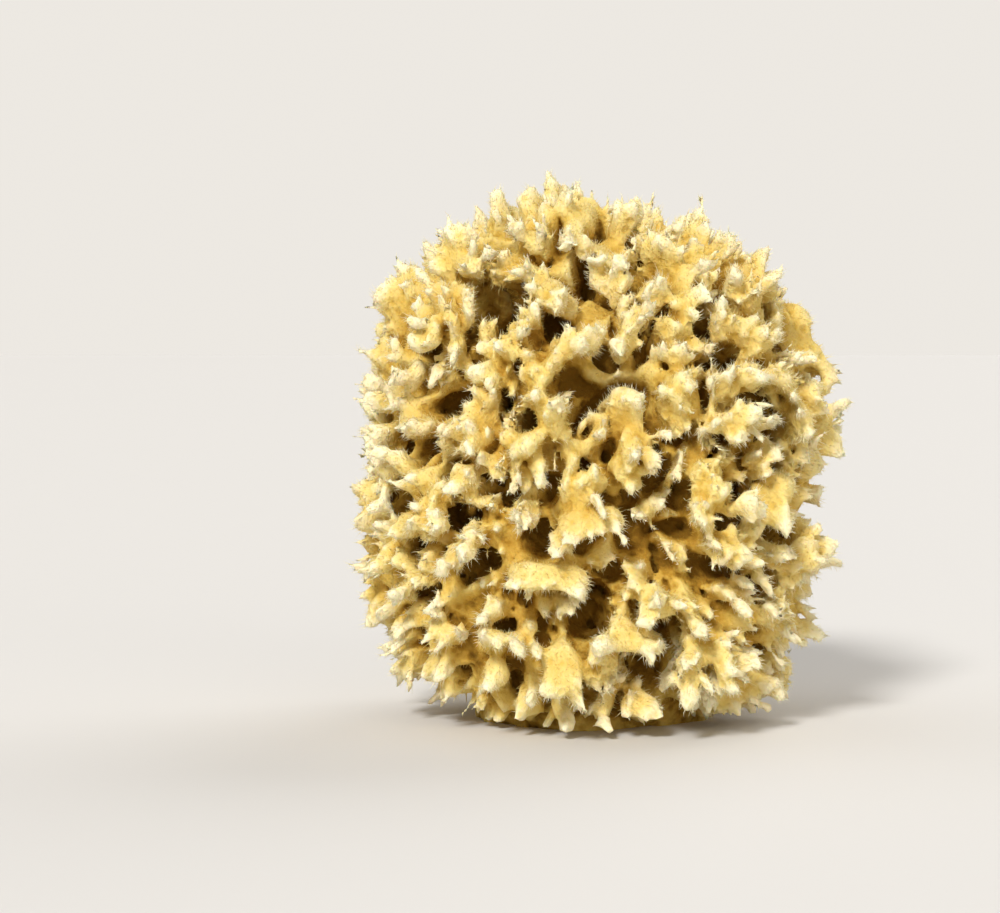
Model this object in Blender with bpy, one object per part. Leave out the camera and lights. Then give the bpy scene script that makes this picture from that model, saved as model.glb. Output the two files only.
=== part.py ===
"""A natural wool sponge: one grown mass of tufts, ridges and cavities, cut off flat below.

Metres outside, millimetres inside. The origin is the middle of the flat cut on which the
sponge rests, +Z is up and -Y is the front. Features of the front are placed by where they
show from a point in front of the sponge: across and up from its middle, in millimetres.
"""
import math

import bmesh
import bpy
import numpy as np
from mathutils import Vector

# Driving dimensions, in millimetres
BALL_RADIUS = 45.0                     # the mass to the middle of its tufts, before it is stretched
STRETCH = np.array([0.93, 0.91, 1.07])  # width, depth and height of the mass against a round one
MIDDLE = np.array([0.0, 0.0, 48.5])    # the middle of the mass above its cut
PLAN_BOXINESS = 2.3                    # the mass from above: 2 is round, more is squarer
TOP_BOXINESS = 2.4                     # its side view above the middle
BASE_BOXINESS = 3.4                    # its side view below the middle, fuller, as it sat on the rock
BODY_RADIUS = 40.0                     # the mass between tufts and cavities
TUFT_ROOT = 34.0                       # how deep a tuft starts
RIDGE_STEP = 1.7                       # between the bars that a ridge, a web or a fan is made of
APART = (16.0, 12.5, 10.0, 8.0)        # degrees between the cavities that aren't placed by hand
FOOT_RADIUS = 21.0                     # the stump at the cut
FOOT_HEIGHT = 9.0
CLEAR_OF_FLOOR = 1.4                   # the lowest tuft tips end this far above the cut
VIEW_MIDDLE = np.array([0.0, 0.0, 50.5])  # the point that across and up are counted from
VIEW_DISTANCE = 535.0                  # from there to the point that the front is placed from
VIEW_RISE = math.radians(2.3)          # how far that point stands above it
GRID_STEP = 1.1                        # the grid on which the mass is worked out
REACH = 56.0                           # half the width of that grid
TRIANGLES = 9300
FOLDED = math.radians(168)              # a crease sharper than this is opened
UNFOLD_PASSES = 12

# How soft shapes melt into each other, in millimetres
CUT_SOFT = 0.4
TUFT_SOFT = 0.8
FRAYED = 1.3                           # the length of the frayed end of a tuft
TAPER = 1.7                            # how fast a tuft thins above its root: 1 is a straight cone

# Cavities of the front: across, up, width, height, depth, turn in degrees
CAVITIES = [
    (-19.3, 31.8, 11.5, 9.0, 15, 0), (-18.9, 23.5, 3.2, 5.6, 9, 10), (-8.5, 24.9, 6.4, 4.6, 9, 0),
    (-18.1, 11.6, 3.2, 5.0, 8, 35), (-29.7, 11.0, 10.6, 4.6, 10, 0), (-3.7, 8.1, 3.8, 8.8, 13, 30),
    (5.0, 12.0, 7.0, 4.4, 13, 0), (-2.5, 37.8, 3.4, 6.0, 9, 0), (20.2, 29.3, 5.0, 9.4, 14, -8),
    (24.7, 26.8, 2.6, 4.0, 6, 0), (7.5, 27.6, 3.0, 4.8, 7, 0), (31.6, 23.9, 3.4, 2.8, 7, 0),
    (17.2, 17.9, 3.4, 4.2, 8, 0), (21.4, 17.7, 3.0, 3.6, 7, 0), (25.0, 19.0, 4.4, 6.0, 8, 0),
    (20.8, 11.6, 5.0, 4.6, 5, 0), (30.3, 11.0, 8.6, 6.2, 10, 0), (34.3, 3.7, 7.6, 8.2, 15, 0),
    (22.0, -1.2, 4.4, 2.8, 3, 0), (35.8, -2.3, 6.8, 5.6, 9, 0), (10.6, -3.7, 5.8, 7.6, 10, 0),
    (-27.0, -3.7, 6.6, 6.0, 9, 0), (-16.6, -7.9, 3.4, 2.8, 6, 0), (-26.8, -12.5, 8.6, 4.0, 10, 0),
    (-11.8, -17.7, 5.2, 6.0, 9, 0), (-34.9, -19.7, 5.6, 4.8, 9, 0), (6.4, -8.3, 3.2, 2.6, 7, 0),
    (28.7, -7.7, 3.0, 5.0, 9, 0), (25.6, -13.5, 7.6, 5.0, 9, 0), (14.3, -14.3, 5.6, 3.6, 7, 0),
    (21.8, -22.5, 8.8, 5.4, 7, 0), (28.5, -24.0, 3.2, 3.2, 9, 0), (-14.8, -29.3, 3.6, 3.0, 5, 0),
    (-2.0, -33.3, 7.2, 9.6, 13, 0), (10.4, -32.6, 5.6, 6.0, 9, 0), (14.2, -38.5, 3.6, 9.0, 10, 35),
    (6.9, -41.4, 7.0, 6.4, 7, 0), (31.0, 29.7, 4.4, 5.0, 9, 0), (41.2, 14.5, 4.6, 4.6, 8, 0),
    (-36.0, 0.5, 6.0, 4.0, 8, 0), (-21.5, -21.5, 6.0, 3.4, 7, 0), (-33.0, -28.0, 5.0, 4.0, 8, 0),
    (-13.7, 17.0, 2.8, 2.8, 5, 0), (9.0, 40.5, 5.0, 6.0, 9, 0), (24.0, 40.0, 6.0, 6.0, 10, 0),
    (-32.0, 36.5, 6.0, 6.0, 9, 0), (-22.0, 44.0, 6.0, 5.0, 9, 0), (-3.9, -2.1, 2.4, 4.2, 6, 0),
]

# Tufts of the front: root across and up, tip across and up, height, thickness at the root and tip
TUFTS = [
    (-26.4, 23.6, -28.2, 17.6, 5.5, 2.6, 1.4), (-9.5, 33.0, -16.4, 35.5, 6.0, 3.0, 1.5),
    (-9.0, 38.0, -15.6, 43.5, 5.5, 3.2, 1.6), (-7.5, 28.6, -7.9, 29.6, 6.0, 3.6, 2.6),
    (-1.7, 45.5, -6.0, 40.4, 6.0, 2.4, 1.5), (0.6, 34.0, -0.6, 37.4, 4.5, 2.8, 1.2),
    (3.0, 31.0, 3.4, 35.6, 4.0, 2.8, 1.1), (12.5, 28.6, 12.1, 33.7, 6.0, 2.4, 0.9),
    (14.1, 35.2, 13.3, 40.1, 5.5, 2.2, 1.0), (14.3, 35.4, 15.8, 38.7, 5.0, 2.0, 1.0),
    (15.5, 31.6, 20.9, 36.4, 6.5, 2.6, 1.2), (15.0, 28.6, 19.7, 31.0, 6.5, 2.4, 1.0),
    (20.8, 24.1, 23.4, 29.0, 6.5, 1.6, 0.8), (27.8, 27.6, 26.4, 34.3, 6.0, 2.6, 1.2),
    (28.4, 27.6, 31.0, 32.2, 6.0, 2.4, 1.1), (33.0, 25.0, 35.5, 29.6, 5.5, 2.4, 1.0),
    (24.4, 21.8, 25.2, 25.4, 5.0, 2.4, 1.0), (30.4, 20.6, 30.8, 21.8, 5.0, 2.6, 2.0),
    (5.2, 21.4, 3.6, 20.2, 5.0, 2.2, 1.0), (1.0, 6.6, 8.0, 11.2, 7.0, 2.6, 1.6),
    (-1.6, 7.6, -4.4, 11.4, 7.0, 2.2, 1.0), (15.4, 9.4, 15.4, 10.2, 5.0, 4.4, 3.4),
    (38.0, 25.0, 40.4, 26.0, 2.0, 3.6, 3.0), (38.2, 19.8, 46.4, 14.8, 4.0, 3.0, 1.2),
    (38.5, 6.0, 46.4, 2.6, 4.0, 3.0, 1.6), (44.0, 3.6, 48.6, -0.4, 4.0, 1.8, 1.1),
    (38.2, -2.0, 43.6, -3.2, 4.0, 2.8, 1.4), (29.5, 0.2, 34.6, 0.4, 6.5, 2.6, 1.2),
    (-19.0, 10.6, -24.0, 12.4, 5.5, 2.8, 1.2), (-16.4, 15.6, -22.2, 15.2, 5.5, 2.8, 1.2),
    (-20.6, 6.4, -24.4, 4.0, 6.0, 4.2, 2.4), (-32.0, 5.8, -37.4, 5.0, 5.0, 2.8, 1.2),
    (-30.0, -4.8, -37.0, -4.4, 5.0, 2.8, 1.2), (-22.5, -4.6, -28.2, -6.2, 6.5, 2.8, 1.2),
    (-28.3, -8.7, -34.2, -9.8, 6.0, 2.4, 1.0), (-8.0, -15.8, -8.8, -19.4, 6.5, 2.2, 1.6),
    (1.5, -10.6, 3.2, -15.2, 6.5, 2.2, 1.2), (-4.8, -3.4, -0.4, -9.2, 7.5, 1.8, 1.0),
    (5.4, 2.8, 9.4, 0.4, 6.5, 2.6, 1.0), (14.0, 0.8, 15.4, -5.4, 5.5, 2.2, 1.0),
    (22.4, -14.4, 27.8, -20.0, 7.0, 2.0, 1.0), (31.4, -3.4, 36.0, -14.0, 6.5, 3.2, 1.3),
    (36.0, -14.6, 40.2, -18.8, 4.0, 3.2, 1.8), (-18.0, -28.0, -23.4, -32.2, 6.0, 2.6, 1.1),
    (-28.6, -31.4, -33.6, -35.8, 4.5, 3.0, 1.3), (-27.6, -33.0, -31.0, -37.4, 4.5, 2.6, 1.3),
    (-33.4, -24.0, -38.0, -27.2, 4.5, 3.0, 1.2), (-13.0, -22.4, -17.8, -25.2, 6.0, 2.8, 1.3),
    (-7.0, -22.8, -3.6, -26.8, 6.0, 2.8, 1.4), (12.4, -25.0, 8.8, -32.4, 6.5, 3.4, 1.6),
    (7.0, -33.0, 0.2, -36.8, 6.5, 2.6, 1.2), (8.0, -34.0, 9.2, -37.8, 6.5, 2.6, 1.4),
    (24.0, -38.0, 25.6, -43.6, 4.0, 3.0, 1.4), (31.0, -28.5, 34.0, -30.6, 3.5, 3.2, 1.6),
    (-18.0, -39.5, -20.8, -44.6, 4.0, 2.8, 1.4), (-12.0, -44.5, -15.4, -51.0, 5.0, 3.0, 1.4),
    (-6.0, -45.5, -6.2, -52.6, 5.5, 3.0, 1.4), (0.5, -46.0, 1.2, -52.4, 5.5, 3.0, 1.4),
    (7.5, -45.0, 9.4, -51.0, 5.0, 3.0, 1.4), (-33.0, 14.6, -38.2, 15.0, 4.5, 2.8, 1.2),
    (-34.0, -14.0, -39.6, -15.6, 4.5, 2.8, 1.2), (-35.0, 27.0, -39.5, 29.5, 4.0, 3.0, 1.2),
]

# Ridges of the front: crest height, thickness, then points across and up
RIDGES = [
    (5.0, 1.7, [(-34.1, 22.4), (-29.3, 26.0), (-22.9, 29.6)]),
    (6.5, 1.2, [(-12.0, 26.8), (-15.8, 23.1), (-16.4, 19.8), (-12.9, 17.9)]),
    (5.0, 1.7, [(3.9, 22.5), (5.8, 25.6), (8.3, 28.3)]),
    (7.0, 1.6, [(20.0, 4.6), (26.6, 7.7), (32.6, 6.4)]),
    (7.0, 2.4, [(-9.0, 4.8), (-13.5, 2.2), (-19.2, -1.2)]),
    (5.5, 1.7, [(-36.4, -13.6), (-31.2, -12.9), (-24.0, -15.2)]),
    (6.5, 1.6, [(-20.2, -11.6), (-13.9, -10.8)]),
    (6.5, 1.7, [(-30.0, -19.0), (-25.0, -17.2), (-19.7, -15.4)]),
    (6.5, 2.2, [(22.4, -8.0), (19.8, -12.5), (21.6, -17.0)]),
    (5.5, 1.6, [(23.7, -9.4), (28.9, -10.4)]),
    (5.5, 2.0, [(-26.4, -34.0), (-19.7, -36.6), (-12.0, -38.5)]),
    (6.0, 1.6, [(11.0, -35.4), (12.6, -40.5), (13.6, -46.0)]),
    (5.0, 2.0, [(-10.0, 15.5), (-7.5, 20.0), (-2.0, 21.0)]),
    (6.0, 2.0, [(-12.5, 11.0), (-9.0, 7.5), (-7.0, 3.0)]),
    (6.5, 1.8, [(31.4, 15.6), (36.0, 14.6), (38.5, 9.0)]),
]

# Fans: root across and up, one end of the edge, the other end, height, thickness
FANS = [
    (-26.4, 32.6, -29.6, 41.4, -20.4, 39.8, 4.5, 1.5), (24.0, 8.4, 21.2, 15.8, 30.8, 15.6, 7.5, 1.5),
    (37.8, 12.0, 44.6, 12.4, 44.6, 7.4, 5.0, 1.6), (37.0, 9.0, 40.6, 5.0, 39.0, 1.2, 6.0, 1.6),
    (-3.3, -9.6, -7.6, -18.0, 1.2, -17.8, 7.5, 1.5), (-6.2, -35.6, -10.2, -45.4, -2.6, -45.6, 6.0, 1.7),
    (20.8, -32.2, 17.6, -46.0, 24.4, -44.6, 6.0, 1.6), (-10.8, -19.8, -15.8, -25.0, -4.8, -26.4, 5.5, 1.5),
]


def noise(shape, step, cell, seed):
    """Smooth random values on the grid, about -1 to 1, that change over one cell."""
    count = int(math.ceil(2 * REACH / cell)) + 6
    values = np.random.default_rng(seed).standard_normal((count, count, count))
    for axis, length in enumerate(shape):
        place = np.arange(length) * step / cell
        first = np.floor(place).astype(int)
        t = place - first
        weights = ((1 - t) ** 3, 3 * t**3 - 6 * t**2 + 4, -3 * t**3 + 3 * t**2 + 3 * t + 1, t**3)
        values = np.moveaxis(values, axis, 0)
        values = sum(w.reshape(-1, 1, 1) * values[first + k] for k, w in enumerate(weights)) / 6
        values = np.moveaxis(values, 0, axis)
    return values * 2.2


def smaller(a, b, soft):
    """The smaller of two values with a soft step between them."""
    t = np.clip(0.5 + 0.5 * (b - a) / soft, 0, 1)
    return b + (a - b) * t - soft * t * (1 - t)


def size_of(q):
    """How far out a point of the unstretched mass lies."""
    x, y, z = np.abs(q[..., 0]), np.abs(q[..., 1]), q[..., 2]
    plan = (x ** PLAN_BOXINESS + y ** PLAN_BOXINESS) ** (1 / PLAN_BOXINESS)
    power = np.where(z < 0, BASE_BOXINESS, TOP_BOXINESS)
    return (plan ** power + np.abs(z) ** power) ** (1 / power)


def spot(across, up, lift):
    """The point of the unstretched mass that shows there from the front, lift above its tufts' middle."""
    back = np.array([0.0, math.cos(VIEW_RISE), -math.sin(VIEW_RISE)])
    rise = np.array([0.0, math.sin(VIEW_RISE), math.cos(VIEW_RISE)])
    eye = -VIEW_DISTANCE * back
    ray = across * np.array([1.0, 0.0, 0.0]) + up * rise - eye
    ray = ray / np.linalg.norm(ray)
    steps = np.linspace(VIEW_DISTANCE - 60, VIEW_DISTANCE + 10, 700)
    points = (eye + steps[:, None] * ray + VIEW_MIDDLE - MIDDLE) / STRETCH
    sizes = size_of(points)
    inside = np.nonzero(sizes <= BALL_RADIUS + lift)[0]
    return points[inside[0]] if len(inside) else points[sizes.argmin()]


def unit(vector):
    return vector / np.linalg.norm(vector)


def across_and_up(out):
    """Two directions along the surface where out points away from the middle."""
    side = unit(np.cross([0.0, 0.0, 1.0], out) + np.array([1e-6, 0.0, 0.0]))
    return side, np.cross(out, side)


class Mass:
    """The mass as distances on a grid. Shapes gather in two soft heaps, added and cut."""

    def __init__(self, step):
        self.step = step
        self.low = np.array([-REACH, -REACH, -4.0])
        self.shape = tuple(int(n) for n in np.ceil(np.array([2 * REACH, 2 * REACH, 110.0]) / step))
        self.axes = [np.arange(n) * step + self.low[i] for i, n in enumerate(self.shape)]
        grid = np.meshgrid(*self.axes, indexing="ij")
        self.points = [(g - MIDDLE[i]) / STRETCH[i] for i, g in enumerate(grid)]
        for i in range(3):
            self.points[i] = self.points[i] + 1.7 * noise(self.shape, step, 13.0, 10 + i)
            self.points[i] = self.points[i] + 0.7 * noise(self.shape, step, 5.0, 20 + i)
        self.heaps = {kind: np.zeros(self.shape) for kind in ("added", "cut", "last")}
        self.softness = {"added": TUFT_SOFT, "cut": CUT_SOFT, "last": CUT_SOFT}

    def cell(self, q):
        """The grid index of a point of the unstretched mass."""
        index = np.rint((q * STRETCH + MIDDLE - self.low) / self.step).astype(int)
        return tuple(np.clip(index, 0, np.array(self.shape) - 1))

    def bent(self, q):
        """Where a point lies once the grid's own bends are in."""
        cell = self.cell(q)
        return np.array([p[cell] for p in self.points])

    def around(self, ends, reach):
        """The box of grid points within reach of the ends."""
        low = np.array(self.cell(np.min(ends, 0) - reach - 5.0))
        high = np.array(self.cell(np.max(ends, 0) + reach + 5.0)) + 1
        return tuple(slice(a, b) for a, b in zip(low, high))

    def heap(self, kind, box, distance):
        self.heaps[kind][box] += np.exp(np.clip(-distance / self.softness[kind], -30, 30))

    def spike(self, root, tip, thick, thin):
        """A round bar that tapers from its root to its tip."""
        box = self.around([root, tip], thick + 3.0)
        a = self.bent(root)
        run = self.bent(tip) - a
        x, y, z = (p[box] - a[i] for i, p in enumerate(self.points))
        t = np.clip((x * run[0] + y * run[1] + z * run[2]) / max(run @ run, 1e-6), 0, 1)
        away = np.sqrt((x - t * run[0]) ** 2 + (y - t * run[1]) ** 2 + (z - t * run[2]) ** 2)
        self.heap("added", box, away - thin - (1 - t) ** TAPER * (thick - thin))

    def tuft(self, root, knee, tip, thick, thin):
        """A tuft from its root over its knee to its tip."""
        middle = thick * 0.6 + thin * 0.4
        self.spike(root, knee, thick * 1.5, middle)
        self.spike(knee, tip + unit(tip - knee) * FRAYED, middle, thin * 0.7)

    def cavity(self, kind, place, inward, side, wide, tall, deep):
        """An egg-shaped hollow: wide along side, tall across it and deep along inward."""
        centre = place + inward * deep * 0.45
        box = self.around([centre], max(wide, tall, deep) + 2.0)
        a = self.bent(centre)
        x, y, z = (p[box] - a[i] for i, p in enumerate(self.points))
        other = np.cross(inward, side)
        parts = [(x * d[0] + y * d[1] + z * d[2]) / s
                 for d, s in ((side, wide), (other, tall), (inward, deep))]
        self.heap(kind, box, (np.sqrt(sum(p * p for p in parts)) - 1) * min(wide, tall, deep))

    def distances(self):
        """The finished mass: below zero is sponge."""
        gathered = {k: -self.softness[k] * np.log(np.maximum(v, 1e-12)) for k, v in self.heaps.items()}
        x, y, z = self.points
        body = size_of(np.stack([x, y, z], -1)) - BODY_RADIUS - 1.5 * noise(self.shape, self.step, 16.0, 31)
        mass = -smaller(-body, gathered["cut"], 0.6)
        mass = smaller(mass, gathered["added"], 2.4)
        mass = -smaller(-mass, gathered["last"], 1.0)
        height = self.axes[2].reshape(1, 1, -1)
        mass = np.maximum(mass, CLEAR_OF_FLOOR - height)
        foot = np.hypot(x * STRETCH[0], y * STRETCH[1]) - FOOT_RADIUS - 0.25 * height
        foot = np.maximum(foot, height - FOOT_HEIGHT)
        mass = smaller(mass, foot, 1.5)
        return np.maximum(mass, self.low[2] + 1.5 * self.step - height)


def spread(rng, taken, apart):
    """Directions for the cavities that aren't placed by hand, each with its size in degrees."""
    directions = [d for d, size in taken]
    sizes = [size for d, size in taken]
    fresh = []
    for wanted, tries in zip(apart, (160, 1200, 4000, 8000)):
        for _ in range(tries):
            direction = unit(rng.standard_normal(3))
            size = wanted * float(rng.uniform(0.88, 1.12))
            angles = np.degrees(np.arccos(np.clip(np.array(directions) @ direction, -1, 1)))
            if direction[2] < -0.95 or (angles < (np.array(sizes) + size) / 2).any():
                continue
            directions.append(direction)
            sizes.append(size)
            fresh.append((direction, size))
    return fresh


def between(directions):
    """Triples of neighbouring directions, as the faces of their hull."""
    hull = bmesh.new()
    for direction in directions:
        hull.verts.new(Vector(direction))
    hull.verts.index_update()
    bmesh.ops.convex_hull(hull, input=hull.verts)
    bmesh.ops.triangulate(hull, faces=hull.faces)
    triples = [[v.index for v in face.verts] for face in hull.faces]
    hull.free()
    return triples


def model_front(mass):
    """The features placed by hand. Gives the cavities' and the other features' directions."""
    hollow = []
    for across, up, width, height, depth, turn in CAVITIES:
        place = spot(across, up, -0.5)
        view = unit(place * STRETCH - np.array([0.0, -VIEW_DISTANCE, 0.0]))
        inward = unit(view - 1.2 * unit(place))
        side, rise = across_and_up(-inward)
        side = unit(side * math.cos(math.radians(turn)) - rise * math.sin(math.radians(turn)))
        mass.cavity("last", place, inward, side, width * 0.54 + 0.2, height * 0.54 + 0.2, depth * 0.6 + 2.0)
        hollow.append((unit(place), math.degrees((width + height + 2.0) / 2 / BALL_RADIUS)))
    taken = []
    for across, up, tip_across, tip_up, lift, thick, thin in TUFTS:
        tip = spot(tip_across, tip_up, lift - 1.5)
        knee = spot(across * 0.6 + tip_across * 0.4, up * 0.6 + tip_up * 0.4, lift * 0.4 - 2.5)
        mass.tuft(spot(across, up, -9.0), knee, tip, thick * 1.25, thin * 0.75)
        taken.extend([unit(knee), unit(tip)])
    for lift, thick, points in RIDGES:
        for (a, b), (c, d) in zip(points, points[1:]):
            count = max(2, int(math.hypot(c - a, d - b) / RIDGE_STEP))
            for t in np.linspace(0, 1, count + 1):
                top = spot(a + (c - a) * t, b + (d - b) * t, lift - 1.0)
                mass.spike(spot(a + (c - a) * t, b + (d - b) * t, -8.0), top, thick * 1.4, thick * 0.45)
                taken.append(unit(top))
    for across, up, a, b, c, d, lift, thick in FANS:
        count = max(2, int(math.hypot(c - a, d - b) / RIDGE_STEP))
        for t in np.linspace(0, 1, count + 1):
            root = spot(across + (t - 0.5) * thick, up, -7.0)
            middle = spot((across + a + (c - a) * t) / 2, (up + b + (d - b) * t) / 2, lift * 0.35 - 1.0)
            tip = spot(a + (c - a) * t, b + (d - b) * t, lift - 0.5)
            mass.spike(root, middle, thick * 1.4, thick * 0.85)
            mass.spike(middle, tip, thick * 0.85, thick * 0.4)
            taken.append(unit(tip))
    return hollow, np.array(taken)


def model_cavities(mass, rng, hollow):
    """Cavities over the rest of the mass."""
    fresh = spread(rng, hollow, APART)
    for direction, size in fresh:
        arc = math.radians(size) * BALL_RADIUS
        wide = arc * rng.uniform(0.36, 0.48)
        side, rise = across_and_up(direction)
        inward = unit(-direction + 0.25 * (side * rng.normal() + rise * rng.normal()))
        turn = rng.uniform(0, math.pi)
        side, rise = across_and_up(-inward)
        side = side * math.cos(turn) + rise * math.sin(turn)
        tall = min(wide * rng.uniform(1.0, 1.35), 5.0)
        place = direction * (BALL_RADIUS / size_of(direction) - 2.0)
        kind = "last" if rng.uniform() < 0.5 else "cut"
        mass.cavity(kind, place, inward, side, wide, tall, wide * rng.uniform(1.5, 2.6))
    return hollow + fresh


def model_tufts(mass, rng, hollow, taken):
    """A tuft wherever three cavities meet, and webs between neighbouring tufts."""
    directions = np.array([direction for direction, size in hollow])
    knees = {}
    walls = {}
    for number, triple in enumerate(between(directions)):
        sizes = np.array([hollow[i][1] for i in triple])
        out = unit((directions[triple] / sizes[:, None]).sum(0))
        side, rise = across_and_up(out)
        lean = 1.8 * (side * rng.normal() + rise * rng.normal())
        height = rng.uniform(-3.0, 2.0) + (3.0 if rng.uniform() > 0.8 else 0.0)
        thick = rng.uniform(3.1, 4.4) * min(math.radians(sizes.mean()) * BALL_RADIUS / 9.0, 1.3)
        if out[2] < -0.97:
            continue
        full = BALL_RADIUS / size_of(out)
        knees[number] = out * (full - 4.5) + lean * 0.4
        if np.degrees(np.arccos(np.clip(taken @ out, -1, 1))).min() > 5.0:
            mass.tuft(out * TUFT_ROOT, knees[number], out * (full + height) + lean, thick, 0.85)
        for i, j in ((0, 1), (1, 2), (0, 2)):
            walls.setdefault(tuple(sorted((triple[i], triple[j]))), []).append(number)
    for pair in walls.values():
        sag = rng.uniform(0.3, 3.0)
        if len(pair) == 2 and rng.uniform() < 0.7:
            model_wall(mass, knees[pair[0]], knees[pair[1]], sag, 1.0)


def model_wall(mass, a, b, sag, thick):
    """A web between two tufts. Its crest hangs by sag."""
    length = np.linalg.norm(b - a)
    if length > 14.0:
        return
    for t in np.linspace(0, 1, max(3, int(length / RIDGE_STEP) + 1))[1:-1]:
        crest = a + (b - a) * t
        crest = crest - unit(crest) * (sag * 4 * t * (1 - t) - 1.5)
        mass.spike(unit(crest) * TUFT_ROOT, crest, thick * 1.6, thick * 0.7)


# The corners of a grid cube, and the six tetrahedra that it splits into along its diagonal
CORNERS = [(0, 0, 0), (1, 0, 0), (0, 1, 0), (1, 1, 0), (0, 0, 1), (1, 0, 1), (0, 1, 1), (1, 1, 1)]
TETRAHEDRA = [(0, 1, 3, 7), (0, 3, 2, 7), (0, 2, 6, 7), (0, 6, 4, 7), (0, 4, 5, 7), (0, 5, 1, 7)]


def surface(values):
    """The zero surface of values on a grid, cut tetrahedron by tetrahedron, so it is always closed."""
    shape = np.array(values.shape)
    flat = values.ravel()
    strides = np.array([shape[1] * shape[2], shape[2], 1])
    inner = values < 0
    mixed = np.zeros(shape - 1, bool)
    for i, j, k in CORNERS:
        mixed |= inner[i:shape[0] - 1 + i, j:shape[1] - 1 + j, k:shape[2] - 1 + k] != inner[:-1, :-1, :-1]
    cubes = np.argwhere(mixed) @ strides
    faces = []
    for four in TETRAHEDRA:
        ends = cubes[:, None] + (np.array(CORNERS) @ strides)[list(four)]
        solid = flat[ends] < 0
        count = solid.sum(1)
        for lone in (1, 3):
            # One corner is alone on its side: a triangle cuts it off.
            e = ends[count == lone]
            pick = (solid[count == lone] == (lone == 1)).argmax(1)
            others = np.array([[1, 2, 3], [0, 2, 3], [0, 1, 3], [0, 1, 2]])[pick]
            row = np.arange(len(e))
            faces.append(np.stack([np.stack([e[row, pick], e[row, others[:, k]]], 1) for k in range(3)], 1))
        for a, b, c, d in ((0, 1, 2, 3), (0, 2, 1, 3), (0, 3, 1, 2), (1, 2, 0, 3), (1, 3, 0, 2), (2, 3, 0, 1)):
            # Two corners on each side: a four-sided cut, made as two triangles.
            e = ends[(count == 2) & solid[:, a] & solid[:, b]]
            ac, ad, bc, bd = (e[:, pair] for pair in ([a, c], [a, d], [b, c], [b, d]))
            faces.append(np.stack([ac, ad, bd], 1))
            faces.append(np.stack([ac, bd, bc], 1))
    faces = np.sort(np.concatenate(faces), 2)
    unique, corners = np.unique(faces[:, :, 0] * flat.size + faces[:, :, 1], return_inverse=True)
    a, b = unique // flat.size, unique % flat.size
    t = np.clip(flat[a] / (flat[a] - flat[b]), 0.04, 0.96)
    start = np.stack(np.unravel_index(a, shape), 1)
    end = np.stack(np.unravel_index(b, shape), 1)
    return start + (end - start) * t[:, None], corners.reshape(-1, 3)


def mesh_of(mass):
    """A fine mesh of the mass, in metres."""
    points, faces = surface(mass.distances())
    points = (points * mass.step + mass.low) / 1000
    mesh = bpy.data.meshes.new("fine")
    mesh.vertices.add(len(points))
    mesh.vertices.foreach_set("co", points.astype(np.float32).ravel())
    mesh.loops.add(faces.size)
    mesh.loops.foreach_set("vertex_index", faces.astype(np.int32).ravel())
    mesh.polygons.add(len(faces))
    mesh.polygons.foreach_set("loop_start", np.arange(len(faces), dtype=np.int32) * 3)
    mesh.update(calc_edges=True)
    work = bmesh.new()
    work.from_mesh(mesh)
    bmesh.ops.recalc_face_normals(work, faces=work.faces)
    work.to_mesh(mesh)
    work.free()
    return mesh


def simplified(mesh, triangles):
    """The same form with far fewer triangles."""
    fine = bpy.data.objects.new("fine", mesh)
    bpy.context.scene.collection.objects.link(fine)
    decimate = fine.modifiers.new("decimate", "DECIMATE")
    decimate.ratio = triangles / len(mesh.polygons)
    decimate.use_collapse_triangulate = True
    coarse = bpy.data.meshes.new_from_object(fine.evaluated_get(bpy.context.evaluated_depsgraph_get()))
    bpy.data.objects.remove(fine)
    bpy.data.meshes.remove(mesh)
    return coarse


def pieces_of(work):
    """The separate pieces of a mesh, each a list of vertices, largest first."""
    left = set(work.verts)
    pieces = []
    while left:
        piece = [left.pop()]
        for vertex in piece:
            for edge in vertex.link_edges:
                other = edge.other_vert(vertex)
                if other in left:
                    left.discard(other)
                    piece.append(other)
        pieces.append(piece)
    return sorted(pieces, key=len, reverse=True)


def unfold(work):
    """Opens the few creases that are folded almost flat, by easing their ends towards what is around."""
    for _ in range(UNFOLD_PASSES):
        creases = [edge for edge in work.edges if edge.calc_face_angle(0.0) > FOLDED]
        for vertex in {vertex for edge in creases for vertex in edge.verts if vertex.co.z > 0.0}:
            around = [edge.other_vert(vertex).co for edge in vertex.link_edges]
            vertex.co = vertex.co.lerp(sum(around, Vector()) / len(around), 0.3)


def cut_flat(mesh):
    """Keeps the one large piece and cuts it off flat at height zero."""
    work = bmesh.new()
    work.from_mesh(mesh)
    for piece in pieces_of(work)[1:]:
        bmesh.ops.delete(work, geom=piece, context="VERTS")
    every = work.verts[:] + work.edges[:] + work.faces[:]
    bmesh.ops.bisect_plane(work, geom=every, plane_co=(0, 0, 0), plane_no=(0, 0, -1), clear_outer=True)
    rim = [edge for edge in work.edges if edge.is_boundary]
    for edge in rim:
        for vertex in edge.verts:
            vertex.co.z = 0.0
    bmesh.ops.contextual_create(work, geom=rim)
    bmesh.ops.recalc_face_normals(work, faces=work.faces)
    bmesh.ops.triangulate(work, faces=work.faces)
    unfold(work)
    work.to_mesh(mesh)
    work.free()
    mesh.shade_smooth()
    mesh.set_sharp_from_angle(angle=math.radians(50))


def sponge_material():
    material = bpy.data.materials.new("sponge_fibre")
    material.use_nodes = True
    shader = material.node_tree.nodes["Principled BSDF"]
    shader.inputs["Base Color"].default_value = (0.80, 0.62, 0.27, 1.0)
    shader.inputs["Roughness"].default_value = 0.95
    shader.inputs["Metallic"].default_value = 0.0
    return material


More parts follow.
